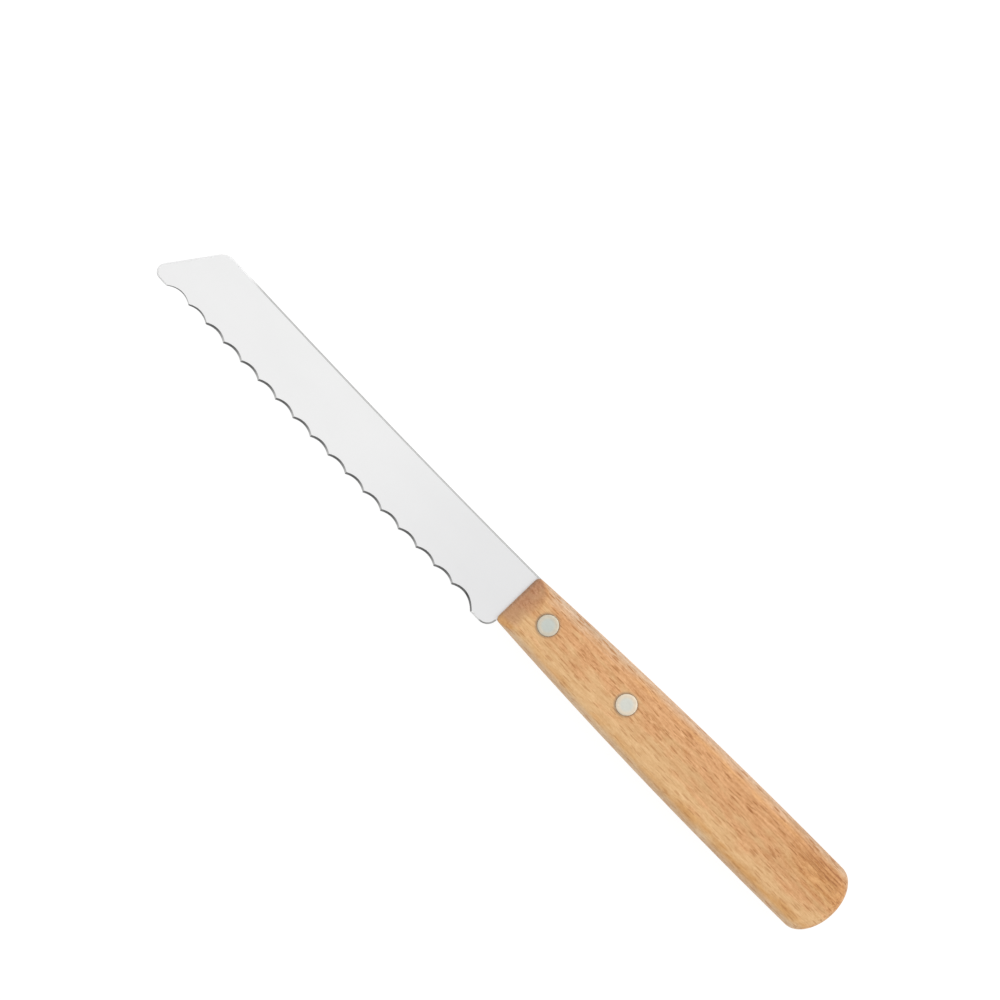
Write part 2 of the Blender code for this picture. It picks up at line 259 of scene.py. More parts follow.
# The tilt and width of the growth rings, and the spacing of the fine comb and of the figure.
RING_TILT = 0.16
RING_WIDTH = 0.0022
COMB_PITCH = 0.0014
FIGURE_PITCH = 0.00085

# How far red, green and blue follow a change in lightness, and where the rivets' painted shadow
# falls.
WOOD_RATES = (0.66, 1, 1.45)
RIM_RATES = (0.14, -0.01, -0.13)
SHADOW_SIDE = Vector((0.9, 0.5, 0))


def between(start, end, part):
    """The value that lies a part of the way from start to end."""
    return start + (end - start) * part


def arch(part, rise):
    """Height of a shallow arch over its chord, a part of the way along it."""
    return 4 * rise * part * (1 - part)


def handle_edge(sizes, x, side):
    """Height of the handle's top edge (side 1) or bottom edge (side -1), x behind its front."""
    part = x / sizes.length
    top = between(sizes.top_front, sizes.top_butt, part) + arch(part, sizes.top_crown)
    bottom = -between(sizes.bottom_front, sizes.bottom_butt, part) - arch(part, sizes.bottom_crown)
    into_butt = max(0, x - (sizes.length - sizes.butt_round)) / sizes.butt_round
    left = math.sqrt(max(0, 1 - into_butt ** 2))
    return (top + bottom) / 2 + side * left * (top - bottom) / 2


def knife_origin(sizes):
    """Where the outlines' X = 0, Y = 0 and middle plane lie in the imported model."""
    top = max(handle_edge(sizes, sizes.length * step / ORIGIN_STEPS, 1)
              for step in range(ORIGIN_STEPS))
    return Vector((HANDLE_LOW.x, HANDLE_HIGH.y - top, (HANDLE_LOW.z + HANDLE_HIGH.z) / 2))


def rounded(corners):
    """A closed outline through (x, y, radius) corners, each rounded as far as its sides allow."""
    outline = []
    for index, (x, y, radius) in enumerate(corners):
        before = corners[index - 1]
        after = corners[(index + 1) % len(corners)]
        to_before = math.dist((x, y), before[:2])
        to_after = math.dist((x, y), after[:2])
        heading_in = math.atan2(y - before[1], x - before[0])
        heading_out = math.atan2(after[1] - y, after[0] - x)
        turn = math.remainder(heading_out - heading_in, math.tau)
        if radius == 0 or turn == 0:
            outline.append((x, y))
            continue
        reach = min(radius * math.tan(abs(turn) / 2), to_before, to_after)
        radius = reach / math.tan(abs(turn) / 2)
        side = math.copysign(1, turn)
        start_x = x - reach * math.cos(heading_in)
        start_y = y - reach * math.sin(heading_in)
        centre_x = start_x - side * radius * math.sin(heading_in)
        centre_y = start_y + side * radius * math.cos(heading_in)
        steps = math.ceil(abs(turn) / ARC_STEP)
        for step in range(steps + 1):
            heading = heading_in + turn * step / steps
            outline.append((centre_x + side * radius * math.sin(heading),
                            centre_y - side * radius * math.cos(heading)))
    return outline


def evaluated(drawing):
    """The mesh that an object shows with its modifiers; the object itself is removed."""
    graph = bpy.context.evaluated_depsgraph_get()
    mesh = bpy.data.meshes.new_from_object(drawing.evaluated_get(graph), depsgraph=graph)
    bpy.data.objects.remove(drawing, do_unlink=True)
    return mesh


def add_object(name, mesh):
    """Links an object for a mesh, which is smooth except at its real corners."""
    mesh.shade_smooth()
    mesh.set_sharp_from_angle(angle=SMOOTH_LIMIT)
    thing = bpy.data.objects.new(name, mesh)
    bpy.context.scene.collection.objects.link(thing)
    return thing


def from_shape(name, shape):
    """An object for a bmesh, whose doubled points are welded and whose faces look outward."""
    bmesh.ops.remove_doubles(shape, verts=shape.verts, dist=WELD_DISTANCE)
    bmesh.ops.recalc_face_normals(shape, faces=shape.faces)
    mesh = bpy.data.meshes.new(name)
    shape.to_mesh(mesh)
    shape.free()
    return add_object(name, mesh)


def plate(name, outline, thickness):
    """A flat object of even thickness with a closed outline, centred on its own XY plane."""
    curve = bpy.data.curves.new(name, "CURVE")
    curve.dimensions = "2D"
    curve.fill_mode = "BOTH"
    curve.extrude = thickness / 2
    spline = curve.splines.new("POLY")
    spline.points.add(len(outline) - 1)
    for point, (x, y) in zip(spline.points, outline):
        point.co = (x, y, 0, 1)
    spline.use_cyclic_u = True
    drawing = bpy.data.objects.new(name, curve)
    bpy.context.scene.collection.objects.link(drawing)
    shape = bmesh.new()
    shape.from_mesh(evaluated(drawing))
    bmesh.ops.remove_doubles(shape, verts=shape.verts, dist=WELD_DISTANCE)
    across_a_face = [edge for edge in shape.edges
                     if all(abs(face.normal.z) > FLAT_LIMIT for face in edge.link_faces)]
    bmesh.ops.dissolve_edges(shape, edges=across_a_face, use_verts=False)
    return from_shape(name, shape)


def turned(name, profile):
    """A turned object: an (x, z) profile from its top to its bottom, spun round its own Z axis."""
    mesh = bpy.data.meshes.new(name)
    points = [(x, 0, z) for x, z in profile]
    mesh.from_pydata(points, [(index, index + 1) for index in range(len(points) - 1)], [])
    drawing = bpy.data.objects.new(name, mesh)
    bpy.context.scene.collection.objects.link(drawing)
    spin = drawing.modifiers.new("turned", "SCREW")
    spin.axis = "Z"
    spin.steps = spin.render_steps = TURNED_STEPS
    spin.use_merge_vertices = True
    spin.merge_threshold = WELD_DISTANCE
    return add_object(name, evaluated(drawing))


def cut(thing, cutters):
    """Takes the cutters' volumes out of an object, and removes the cutters."""
    for cutter in cutters:
        modifier = thing.modifiers.new(cutter.name, "BOOLEAN")
        modifier.operation = "DIFFERENCE"
        modifier.solver = "EXACT"
        modifier.object = cutter
    name = thing.name
    mesh = evaluated(thing)
    if not mesh.polygons:
        raise RuntimeError("The cutters left nothing of " + name)
    for cutter in cutters:
        bpy.data.objects.remove(cutter, do_unlink=True)
    return add_object(name, mesh)


def fit(piece, node, origin):
    """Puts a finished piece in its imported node's place on the knife's one body."""
    even = piece.modifiers.new("even_shading", "WEIGHTED_NORMAL")
    even.keep_sharp = True
    piece.data.transform(Matrix.Translation(origin))
    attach(piece, "root")
    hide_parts(node)


def soft_min(a, b, softness):
    """The lower of two heights, blended where they are within the softness of each other."""
    overlap = max(softness - abs(a - b), 0) / softness
    return min(a, b) - overlap ** 2 * softness / 4


def quarter_drop(depth, radius):
    """How far a quarter round lies under its crown, at a depth from its rim."""
    return radius - math.sqrt(radius ** 2 - max(radius - depth, 0) ** 2)


def handle_run(sizes):
    """(x, y, inward x, inward y) points from the bottom front corner round to the top front one."""
    straight = sizes.length - sizes.butt_round
    stations = [sizes.front_break * (1 - math.cos(math.pi / 2 * step / BREAK_STEPS))
                for step in range(BREAK_STEPS)]
    steps = round((FRONT_ZONE - sizes.front_break) / FRONT_STEP)
    stations += [between(sizes.front_break, FRONT_ZONE, step / steps) for step in range(steps)]
    steps = round((straight - FRONT_ZONE) / SIDE_STEP)
    stations += [between(FRONT_ZONE, straight, step / steps) for step in range(steps)]
    stations += [straight + sizes.butt_round * math.sin(math.pi / 2 * step / BUTT_STEPS)
                 for step in range(BUTT_STEPS)]
    points = [(x, handle_edge(sizes, x, -1)) for x in stations]
    points.append((sizes.length, handle_edge(sizes, sizes.length, 1)))
    points += [(x, handle_edge(sizes, x, 1)) for x in reversed(stations)]
    run = []
    for index, (x, y) in enumerate(points):
        before = Vector(points[max(index - 1, 0)])
        after = Vector(points[min(index + 1, len(points) - 1)])
        along = (after - before).normalized()
        inward_x = 0 if index in (0, len(points) - 1) else -along.y
        run.append((x, y, inward_x, along.x))
    return run


def handle_row(sizes, bottom, top, side):
    """Points across one side of the handle, from its bottom wall over the flat to its top wall."""
    half = sizes.thickness / 2
    half_front = sizes.front_thickness / 2
    rise = (half - half_front) / sizes.facet_length

    def round_point(place, step):
        x, y, inward_x, inward_y = place
        turn = math.pi / 2 * step / ROUND_STEPS
        corner = quarter_drop(x, sizes.front_corner)
        inset = sizes.edge_radius * (1 - math.cos(turn)) + corner * math.cos(turn)
        height = half - sizes.edge_radius * (1 - math.sin(turn))
        height = soft_min(height, half_front + rise * x, sizes.sanding)
        height -= quarter_drop(x, sizes.front_break)
        return Vector((x + inward_x * inset, y + inward_y * inset, side * height))

    row = [round_point(bottom, step) for step in range(ROUND_STEPS + 1)]
    far = [round_point(top, step) for step in range(ROUND_STEPS, -1, -1)]
    row += [row[-1].lerp(far[0], step / ACROSS_STEPS) for step in range(1, ACROSS_STEPS)]
    return row + far


def handle_shell(sizes):
    """The handle's wood before its slot and holes are cut: a closed mesh of even quads."""
    run = handle_run(sizes)
    shape = bmesh.new()
    sides = []
    for side in (1, -1):
        rows = []
        for index in range(len(run) // 2 + 1):
            row = handle_row(sizes, run[index], run[-1 - index], side)
            rows.append([shape.verts.new(point) for point in row])
        sides.append(rows)
        for near, far in zip(rows, rows[1:]):
            for column in range(len(near) - 1):
                shape.faces.new((near[column], far[column], far[column + 1], near[column + 1]))
    upper, lower = sides
    for wall in (0, -1):
        for index in range(len(upper) - 1):
            shape.faces.new((upper[index][wall], upper[index + 1][wall],
                             lower[index + 1][wall], lower[index][wall]))
    shape.faces.new(upper[0] + lower[0][::-1])
    return from_shape("beech_handle", shape)


def kerf_cutter(sizes, blade_thickness):
    """The saw kerf that takes the tang, with the round end that the saw leaves."""
    end = sizes.tang_length
    corner_height = max(handle_edge(sizes, end, 1), -handle_edge(sizes, end, -1))
    centre = end + sizes.kerf_gap - math.sqrt(SAW_RADIUS ** 2 - corner_height ** 2)
    height = sizes.top_butt + sizes.bottom_butt
    opening = math.asin(height / SAW_RADIUS)
    outline = [(-CUTTER_REACH, height), (-CUTTER_REACH, -height)]
    for step in range(CURVE_STEPS + 1):
        turn = opening * (2 * step / CURVE_STEPS - 1)
        outline.append((centre + SAW_RADIUS * math.cos(turn), SAW_RADIUS * math.sin(turn)))
    return plate("kerf", outline, blade_thickness + 2 * sizes.kerf_gap)


def hole_profile(sizes):
    """Half section of a rivet's hole in the wood, with a worn lip at both ends."""
    end = sizes.height / 2
    head = sizes.head / 2 + sizes.hole_gap
    shank = sizes.shank / 2 + sizes.hole_gap
    outer = [(0, end + sizes.hole_lip), (head + 2 * sizes.hole_lip, end + sizes.hole_lip),
             (head, end - sizes.hole_lip), (shank, end - sizes.flare)]
    return outer + [(x, -z) for x, z in reversed(outer)]


def rivet_profile(sizes):
    """Half section of a rivet: a flat crown, a rim that rolls down, the flare and the shank."""
    end = sizes.height / 2
    outer = [(0, end)]
    for step in range(ROUND_STEPS + 1):
        turn = math.pi / 2 * step / ROUND_STEPS
        outer.append((sizes.head / 2 - sizes.rolled_rim * (1 - math.sin(turn)),
                      end - sizes.rim_drop * (1 - math.cos(turn))))
    outer.append((sizes.shank / 2, end - sizes.flare))
    return outer + [(x, -z) for x, z in reversed(outer)]


def blade_outline(handle, blade):
    """The blade's blank with its tang, drawn round from the tang's end over the spine."""
    length = handle.tang_length
    nose_x = -blade.length + blade.nose_radius - blade.nose_radius / math.tan(blade.tip_angle / 2)
    tip_x = nose_x + (blade.nose_drop + blade.spine_tip) / math.tan(blade.tip_angle)
    parts = [step / CURVE_STEPS for step in range(1, CURVE_STEPS)]

    corners = [(length, handle_edge(handle, length, 1), blade.tang_corner)]
    corners += [(length * (1 - part), handle_edge(handle, length * (1 - part), 1), 0)
                for part in parts]
    corners.append((0, handle.top_front, 0))
    for part in parts:
        height = between(handle.top_front, blade.spine_tip, part) - arch(part, blade.spine_dip)
        corners.append((tip_x * part, height, 0))
    corners.append((tip_x, blade.spine_tip, blade.tip_radius))
    corners.append((nose_x, -blade.nose_drop, blade.nose_radius))
    corners.append((-blade.heel_length, -blade.heel_drop, 0))
    corners.append((blade.heel_overlap, -blade.heel_drop, blade.heel_radius))
    corners.append((blade.heel_overlap, handle_edge(handle, blade.heel_overlap, -1), 0))
    corners += [(length * part, handle_edge(handle, length * part, -1), 0) for part in parts]
    corners.append((length, handle_edge(handle, length, -1), blade.tang_corner))
    return rounded(corners)


def point_line(blade, x):
    """Height of the line through the serrations' points."""
    part = (-x - blade.heel_length) / (blade.length - blade.nose_land - blade.heel_length)
    heel = -blade.heel_drop + blade.point_lift_heel
    nose = -blade.nose_drop + blade.point_lift_nose
    return between(heel, nose, part) - arch(part, blade.edge_belly)


def grinding_wheels(blade, side, angle, finishes):
    """Cutters like a tilted wheel, one a scallop: the rim runs through the edge and up to a face.

    On side 1, which shows, they leave the fine bevel, and on side -1 the hollows.
    """
    drop = blade.scallop_depth * math.sin(angle)
    radius = ((blade.scallop_pitch / 2) ** 2 + drop ** 2) / (2 * drop)
    serrated = blade.length - blade.nose_land - blade.heel_length + blade.scallop_pitch / 2
    count = int(serrated / blade.scallop_pitch)
    wheels = []
    for index in range(count):
        from_nose = (count - 1 - index) / LAP_GROWTH
        lap_width = blade.lap_width * min(1, between(blade.lap_nose, 1, from_nose))
        edge_z = blade.thickness / 2 - lap_width * math.tan(blade.lap_angle)
        x = -blade.heel_length - blade.scallop_pitch * index
        edge_y = point_line(blade, x) + blade.scallop_depth
        tilt = Matrix.Rotation(side * (angle - math.pi / 2), 4, "X")
        place = Matrix.Translation(
            (x, edge_y - radius * math.sin(angle), edge_z + side * radius * math.cos(angle)))
        shape = bmesh.new()
        bmesh.ops.create_cone(shape, cap_ends=True, segments=WHEEL_STEPS, radius1=radius,
                              radius2=radius, depth=CUTTER_REACH, matrix=place @ tilt)
        wheel = from_shape("wheel", shape)
        for finish in finishes:
            wheel.data.materials.append(finish)
        for face in wheel.data.polygons:
            face.material_index = LAP if side > 0 else HOLLOW
        wheels.append(wheel)
    return wheels


def make_blade(handle, blade, finishes):
    """Blade and tang: one sheet with soft rims, its edge ground in crisp scallops."""
    sheet = plate("serrated_blade", blade_outline(handle, blade), blade.thickness)
    for finish in finishes:
        sheet.data.materials.append(finish)
    for face in sheet.data.polygons:
        face.material_index = RIM if abs(face.normal.z) < FLAT_LIMIT else POLISHED

    # Only the rims in front of the wood are rounded, and the tang stays square.
    weights = sheet.data.attributes.new("bevel_weight_edge", "FLOAT", "EDGE")
    for edge in sheet.data.edges:
        ends = [sheet.data.vertices[index].co for index in edge.vertices]
        if math.isclose(ends[0].z, ends[1].z):
            front_end = min(end.x for end in ends)
            weights.data[edge.index].value = front_end < blade.heel_overlap - WELD_DISTANCE
    rims = sheet.modifiers.new("rims", "BEVEL")
    rims.width = blade.rim_break
    rims.segments = RIM_SEGMENTS
    rims.limit_method = "WEIGHT"
    rims.material = RIM
    rims.use_clamp_overlap = False
    sheet = cut(sheet, grinding_wheels(blade, -1, blade.hollow_angle, finishes)
                + grinding_wheels(blade, 1, blade.lap_angle, finishes))

    # A grind ends in a crisp line, however flat its angle.
    shape = bmesh.new()
    shape.from_mesh(sheet.data)
    for edge in shape.edges:
        kinds = {face.material_index for face in edge.link_faces}
        if len(kinds) > 1 and kinds & {HOLLOW, LAP}:
            edge.smooth = False
    shape.to_mesh(sheet.data)
    shape.free()
    return sheet


def make_handle(handle, rivet, blade, origin, finish):
    """The beech handle, slotted for the tang and drilled for the rivets."""
    shell = handle_shell(handle)
    shell.data.materials.append(finish)
    cutters = [kerf_cutter(handle, blade.thickness)]
    for node, centre in RIVET_CENTRES.items():
        hole = turned(node + "_hole", hole_profile(rivet))
        hole.location = centre - origin
        cutters.append(hole)
    return cut(shell, cutters)


class Wire:
    """A shader socket that takes part in Python expressions."""

    def __init__(self, graph, socket):
        self.graph = graph
        self.socket = socket

    def out(self, name):
        """Another output of the same node."""
        return Wire(self.graph, self.graph.find(self.socket.node.outputs, name))

    def __add__(self, other):
        return self.graph.math("ADD", self, other)

    def __sub__(self, other):
        return self.graph.math("SUBTRACT", self, other)

    def __rsub__(self, other):
        return self.graph.math("SUBTRACT", other, self)

    def __mul__(self, other):
        return self.graph.math("MULTIPLY", self, other)

    def __truediv__(self, other):
        return self.graph.math("DIVIDE", self, other)

    def __rtruediv__(self, other):
        return self.graph.math("DIVIDE", other, self)

    def __abs__(self):
        return self.graph.math("ABSOLUTE", self)

    __radd__ = __add__
    __rmul__ = __mul__


class Graph:
    """The shader nodes of one material, or of the world."""

    def __init__(self, block, output_kind):
        block.use_nodes = True
        self.nodes = block.node_tree.nodes
        self.links = block.node_tree.links
        self.nodes.clear()
        self.output = self.nodes.new("ShaderNodeOutput" + output_kind)

    def find(self, sockets, key):
        """A socket by its number, or the socket in use that has a name."""
        if isinstance(key, int):
            return sockets[key]
        return next(socket for socket in sockets if socket.name == key and socket.enabled)

    def add(self, kind, settings=None, values=None, output=0):
        """A new node: its settings come first, then its sockets' values or links."""
        node = self.nodes.new("ShaderNode" + kind)
        for name, value in (settings or {}).items():
            setattr(node, name, value)
        for key, value in (values or {}).items():
            self.feed(self.find(node.inputs, key), value)
        return Wire(self, self.find(node.outputs, output))

    def feed(self, socket, value):
        """Links a wire to a socket, or sets the socket's own value."""
        if isinstance(value, Wire):
            self.links.new(value.socket, socket)
        elif socket.type == "RGBA":
            socket.default_value = (*value, 1)
        else:
            socket.default_value = value

    def show(self, surface):
        """Sends a shader to the output."""
        self.feed(self.find(self.output.inputs, "Surface"), surface)

    def math(self, operation, *values):
        """A Math node."""
        return self.add("Math", {"operation": operation}, dict(enumerate(values)))

    def ease(self, value, low, high):
        """0 under the low limit, 1 over the high one, and smooth between them."""
        return self.add("MapRange", {"interpolation_type": "SMOOTHSTEP"},
                        {"Value": value, "From Min": low, "From Max": high})

    def window(self, value, rise, fall):
        """1 between two limits: it rises over the first range and falls over the second."""
        return self.ease(value, *rise) * self.ease(value, *fall)

    def wave(self, turns):
        """A wave from -1 to 1, once a turn."""
        return self.math("SINE", turns * math.tau)

    def mix(self, factor, first, second):
        """A blend of two colours."""
        return self.add("Mix", {"data_type": "RGBA"},
                        {"Factor": factor, "A": first, "B": second}, "Result")

    def scale(self, colour, factor):
        """A colour made lighter or darker."""
        return self.add("VectorMath", {"operation": "SCALE"}, {0: colour, "Scale": factor})

    def shade(self, colour, change, rates):
        """A colour whose channels each take their own share of a change in lightness."""
        channels = self.add("VectorMath", {"operation": "MULTIPLY_ADD"},
                            {0: change, 1: rates, 2: (1, 1, 1)})
        return self.add("VectorMath", {"operation": "MULTIPLY"}, {0: colour, 1: channels})

    def axis(self, vector, name):
        """One axis of a vector."""
        return self.add("SeparateXYZ", {}, {0: vector}, name)

    def dot(self, first, second):
        """How far one vector reaches along another."""
        return self.add("VectorMath", {"operation": "DOT_PRODUCT"}, {0: first, 1: second}, "Value")

    def cells(self, place, sizes):
        """A place in space, measured in cells that are so many millimetres long, high and deep."""
        metres = [length * MILLIMETRE for length in sizes]
        return self.add("VectorMath", {"operation": "DIVIDE"}, {0: place, 1: metres})

    def away_from(self, centre, place):
        """Distance from a line through a point, square to the knife's side."""
        flat = [self.axis(place, name) - value for name, value in zip("XY", centre)]
        return self.math("SQRT", flat[0] * flat[0] + flat[1] * flat[1])

    def noise(self, place, sizes, detail=2):
        """Noise from 0 to 1, whose blotches are so many millimetres long, high and deep."""
        return self.add("TexNoise", {}, {"Vector": self.cells(place, sizes), "Scale": 1,
                                         "Detail": detail})

    def swing(self, place, sizes, detail=2):
        """The same noise from -0.5 to 0.5."""
        return self.noise(place, sizes, detail) - 0.5

    def flecks(self, place, sizes):
        """Distance from scattered points, one a cell so many millimetres long, high and deep."""
        return self.add("TexVoronoi", {}, {"Vector": self.cells(place, sizes), "Scale": 1},
                        "Distance")

    def bump(self, height, depth):
        """A normal for a height, whose step of 1 is a depth in millimetres."""
        return self.add("Bump", {}, {"Height": height, "Strength": 1,
                                     "Distance": depth * MILLIMETRE})

    def surface(self, **values):
        """A Principled shader; a socket's name is written with underscores."""
        return self.add("BsdfPrincipled", {}, {name.replace("_", " ").title(): value
                                               for name, value in values.items()})


def new_finish(name):
    """An empty material and its graph."""
    material = bpy.data.materials.new(name)
    return material, Graph(material, "Material")


def polished_steel(colours):
    """Satin stainless sheet: a calm sheen, faint polishing lines across it and a few scratches."""
    material, graph = new_finish("satin_steel")
    place = graph.add("TexCoord", output="Object")
    lines = graph.swing(place, (0.05, 9, 9), 3)
    clouds = graph.swing(place, (16, 7, 7))
    scratches = graph.ease(graph.noise(place, (7, 0.05, 1), 1), 0.66, 0.74)
    # The steel is painted darker towards the heel as shade.
    steel_shade_ramp = graph.ease(graph.axis(place, "X"), BLADE_LOW.x / 2, HANDLE_LOW.x)
    tone = graph.mix(steel_shade_ramp, colours.steel_tip, colours.steel_heel_shaded)
    graph.show(graph.surface(
        base_color=graph.scale(tone, 1 + 0.02 * lines + 0.03 * clouds - 0.012 * scratches),
        metallic=1, roughness=0.30 + 0.05 * lines + 0.05 * clouds + 0.03 * scratches,
        normal=graph.bump(lines - 0.3 * scratches, 0.0008)))
    return material


def ground_steel(name, line, tone, run_out_shade=None):
    """Steel as the wheel leaves it, lined to the edge; run_out_shade is painted shade where it ran
    out.
    """
    material, graph = new_finish(name)
    place = graph.add("TexCoord", output="Object")
    lines = graph.noise(place, (line, 2, 2), 3)
    if run_out_shade is not None:
        tone = graph.mix(graph.ease(graph.axis(place, "X"), *RUN_OUT), tone, run_out_shade)
    graph.show(graph.surface(
        base_color=graph.scale(tone, 0.9 + 0.2 * lines), metallic=1,
        roughness=0.22 + 0.14 * lines, normal=graph.bump(lines, 0.0008)))
    return material


def sheared_rim(colours, blade):
    """The sheet's rim: painted dark as shade at the spine and heel's round, bright at tip and edge.
    """
    material, graph = new_finish("sheared_rim")
    place = graph.add("TexCoord", output="Object")
    x, y = graph.axis(place, "X"), graph.axis(place, "Y")
    grain = graph.noise(place, (0.3, 0.3, 0.12), 3)
    tip = BLADE_LOW.x + blade.spine_tip
    heel = HANDLE_LOW.x - blade.heel_radius
    spine_side = graph.ease(y, -0.001, 0.001)
    # Where the rim is painted darker as shade.
    rim_shade = (spine_side * graph.ease(x, tip + 0.008, tip + 0.014)
            + (1 - spine_side) * graph.ease(x, heel, heel + 0.0009))
    tone = graph.mix(rim_shade, colours.rim_bright, colours.rim)
    graph.show(graph.surface(
        base_color=graph.scale(tone, 0.92 + 0.16 * grain), metallic=1,
        roughness=0.70 - 0.36 * rim_shade + 0.12 * grain, normal=graph.bump(grain, 0.002)))
    return material


def rivet_soil_and_shadow(graph, place, rivet):
    """Soil and painted shade round the rivets' heads, with a painted shadow towards the tip and
    edge.
    """
    head, lip = rivet.head / 2, rivet.hole_lip
    ring = 0
    for centre in RIVET_CENTRES.values():
        seam_ring = graph.window(graph.away_from(centre, place),
                            (head - 2 * lip, head + lip), (head + 7 * lip, head + 2 * lip))
        aside = graph.dot(place, SHADOW_SIDE) - centre.dot(SHADOW_SIDE)
        # The side towards the tip and the edge takes a painted shadow on top of the ring.
        ring = ring + seam_ring * (0.25 + 0.30 * graph.ease(aside, 0.002, -0.003))
    return ring


def beech(colours, rivet, origin):
    """Oiled steamed beech: growth rings, fibres, short dark rays, and darker end grain.

    Noises take their millimetres along, up and through the handle. Other places are in metres:
    back is counted behind the handle's front, and height over its middle line.
    """
    material, graph = new_finish("beech_wood")
    coordinates = graph.add("TexCoord")
    place, facing = coordinates.out("Object"), coordinates.out("Normal")
    x, y, z = (graph.axis(place, name) for name in "XYZ")
    height = y - origin.y
    back = x - origin.x

    # The grain wanders a little, and all that is drawn along it follows.
    wander = graph.swing(place, (30, 11, 12))
    slip = graph.swing(place, (14, 2.2, 3))
    grain = graph.add("CombineXYZ", {}, {0: x + 0.004 * slip, 1: y + 0.0012 * wander,
                                         2: z + 0.002 * wander})
    rings = (RING_TILT * y + z + 0.0024 * graph.noise(grain, (50, 6, 9))) / RING_WIDTH
    late = graph.window(graph.math("FRACT", rings), (0.55, 0.96), (1.0, 0.96))

    # Light and dark, from broad bands to fine fibres.
    band = graph.swing(grain, (34, 1.9, 4))
    streak = graph.swing(grain, (6, 0.48, 0.7), 1)
    dash = graph.swing(grain, (2.2, 0.36, 0.5), 1)
    grit = graph.swing(grain, (0.6, 0.28, 0.4), 1)
    fibre = graph.swing(grain, (9, 0.15, 0.2))
    patch = graph.swing(place, (7, 3.0, 4))
    mottle = graph.swing(place, (2.2, 1.6, 2))
    comb = graph.wave(height / COMB_PITCH + 2.5 * graph.noise(place, (8, 3, 4)))
    rosy = graph.ease(height + 0.024 * patch + 0.018 * band, *ROSY_HEIGHT)
    lively = 0.80 + 0.65 * rosy

    # Short dark marks, and one dark figure above the middle near the butt.
    spindle = graph.ease(graph.flecks(grain, (4.6, 0.66, 2.0)), 0.31, 0.20)
    ray = graph.ease(graph.noise(grain, (2.4, 0.22, 0.5), 1), 0.64, 0.74)
    pores = graph.ease(graph.noise(grain, (0.9, 0.07, 0.07), 1), 0.60, 0.76)
    line = graph.wave((height + 0.0006 * wander + 0.0003 * streak) / FIGURE_PITCH)
    figure = (graph.window(back, *FIGURE_BACK) * graph.window(height, *FIGURE_HEIGHT)
              * (0.25 + 0.75 * graph.ease(line + 3 * dash, 0.1, 0.9)))

    # Painted sheen that lights the round edges pale as a grazing highlight would, and oil that
    # soaked in along them.
    aside = graph.axis(facing, "Y")
    narrow = graph.ease(abs(graph.axis(facing, "Z")), 0.44, 0.14)
    front = graph.window(back, (0.004, 0.007), (0.038, 0.014))
    edge_sheen = (0.78 * graph.math("MAXIMUM", aside - 0.36, 0)
              + 0.95 * graph.math("MAXIMUM", -0.45 - aside, 0)
              + 0.15 * front * graph.ease(aside, 0.06, 0.22))
    rear = graph.ease(back, 0.045, 0.062) * graph.ease(patch, -0.15, 0.05)
    oily = (graph.ease(height - 0.027 * back, -0.0058, -0.0073) * rear
            + graph.ease(height, -0.0040, -0.0055) * graph.ease(back, 0.0050, 0.0035))
    edge = graph.ease(abs(aside), 0.02, 0.30) * graph.ease(patch, -0.08, 0.08)
    warm = graph.ease(back, 0.080, 0.092) * graph.ease(height, 0.001, 0.004)
    soaked = graph.math("MAXIMUM", graph.math("MAXIMUM", 0.30 * edge, 0.55 * oily), 0.35 * warm)

    # Fibres cut across on the slopes in front and round the butt, and painted shade in the handle's
    # mouth.
    across = (graph.ease(abs(graph.axis(facing, "X")) + 0.2 * mottle, 0.12, 0.60)
              * graph.ease(back, 0.099, 0.05) * (1 - 0.45 * graph.ease(back, 0.0010, 0.0042))
              * (0.67 + 0.15 * graph.ease(height, -0.004, 0.003) + 0.30 * mottle)
              * (1 - 0.7 * oily))
    mouth = graph.ease(back, 0.0010, 0.0001) * (0.28 + 0.14 * graph.ease(height, 0, 0.003))

    tone = graph.mix(rosy, colours.wood_gold, colours.wood_rose)
    for amount, layer in (
            (soaked, colours.wood_orange),
            # Painted sheen along the round edges.
            (edge_sheen * (1 - 0.85 * narrow), colours.wood_sheen),
            (0.16 * late, colours.wood_late),
            (0.60 * spindle * lively * (1 - 0.6 * narrow), colours.wood_late),
            (0.45 * ray * lively, colours.wood_fleck),
            (0.15 * pores, colours.wood_fleck),
            (0.72 * figure, colours.wood_fleck),
            (across, colours.wood_end),
            # Painted shade along the mouth, against the blade.
            (mouth, colours.seam),
            # Painted shade and shadow round the rivets, with some soil.
            (rivet_soil_and_shadow(graph, place, rivet), colours.seam)):
        tone = graph.mix(amount, tone, layer)
    dusk = graph.ease(back, 0.068, 0.088) * graph.ease(height, -0.0002, 0.0010)
    drawn = 0.40 * streak + 0.38 * dash + 0.40 * grit + 0.22 * fibre + 0.05 * comb
    level = 0.30 * band + lively * drawn + 0.12 * mottle - 0.11 * dusk - 0.08 * oily
    relief = 0.6 * fibre + 0.4 * dash - 0.4 * ray - 0.5 * pores
    graph.show(graph.surface(
        base_color=graph.shade(tone, level, WOOD_RATES),
        roughness=0.52 + 0.2 * fibre + 0.08 * ray, normal=graph.bump(relief, 0.008)))
    return material


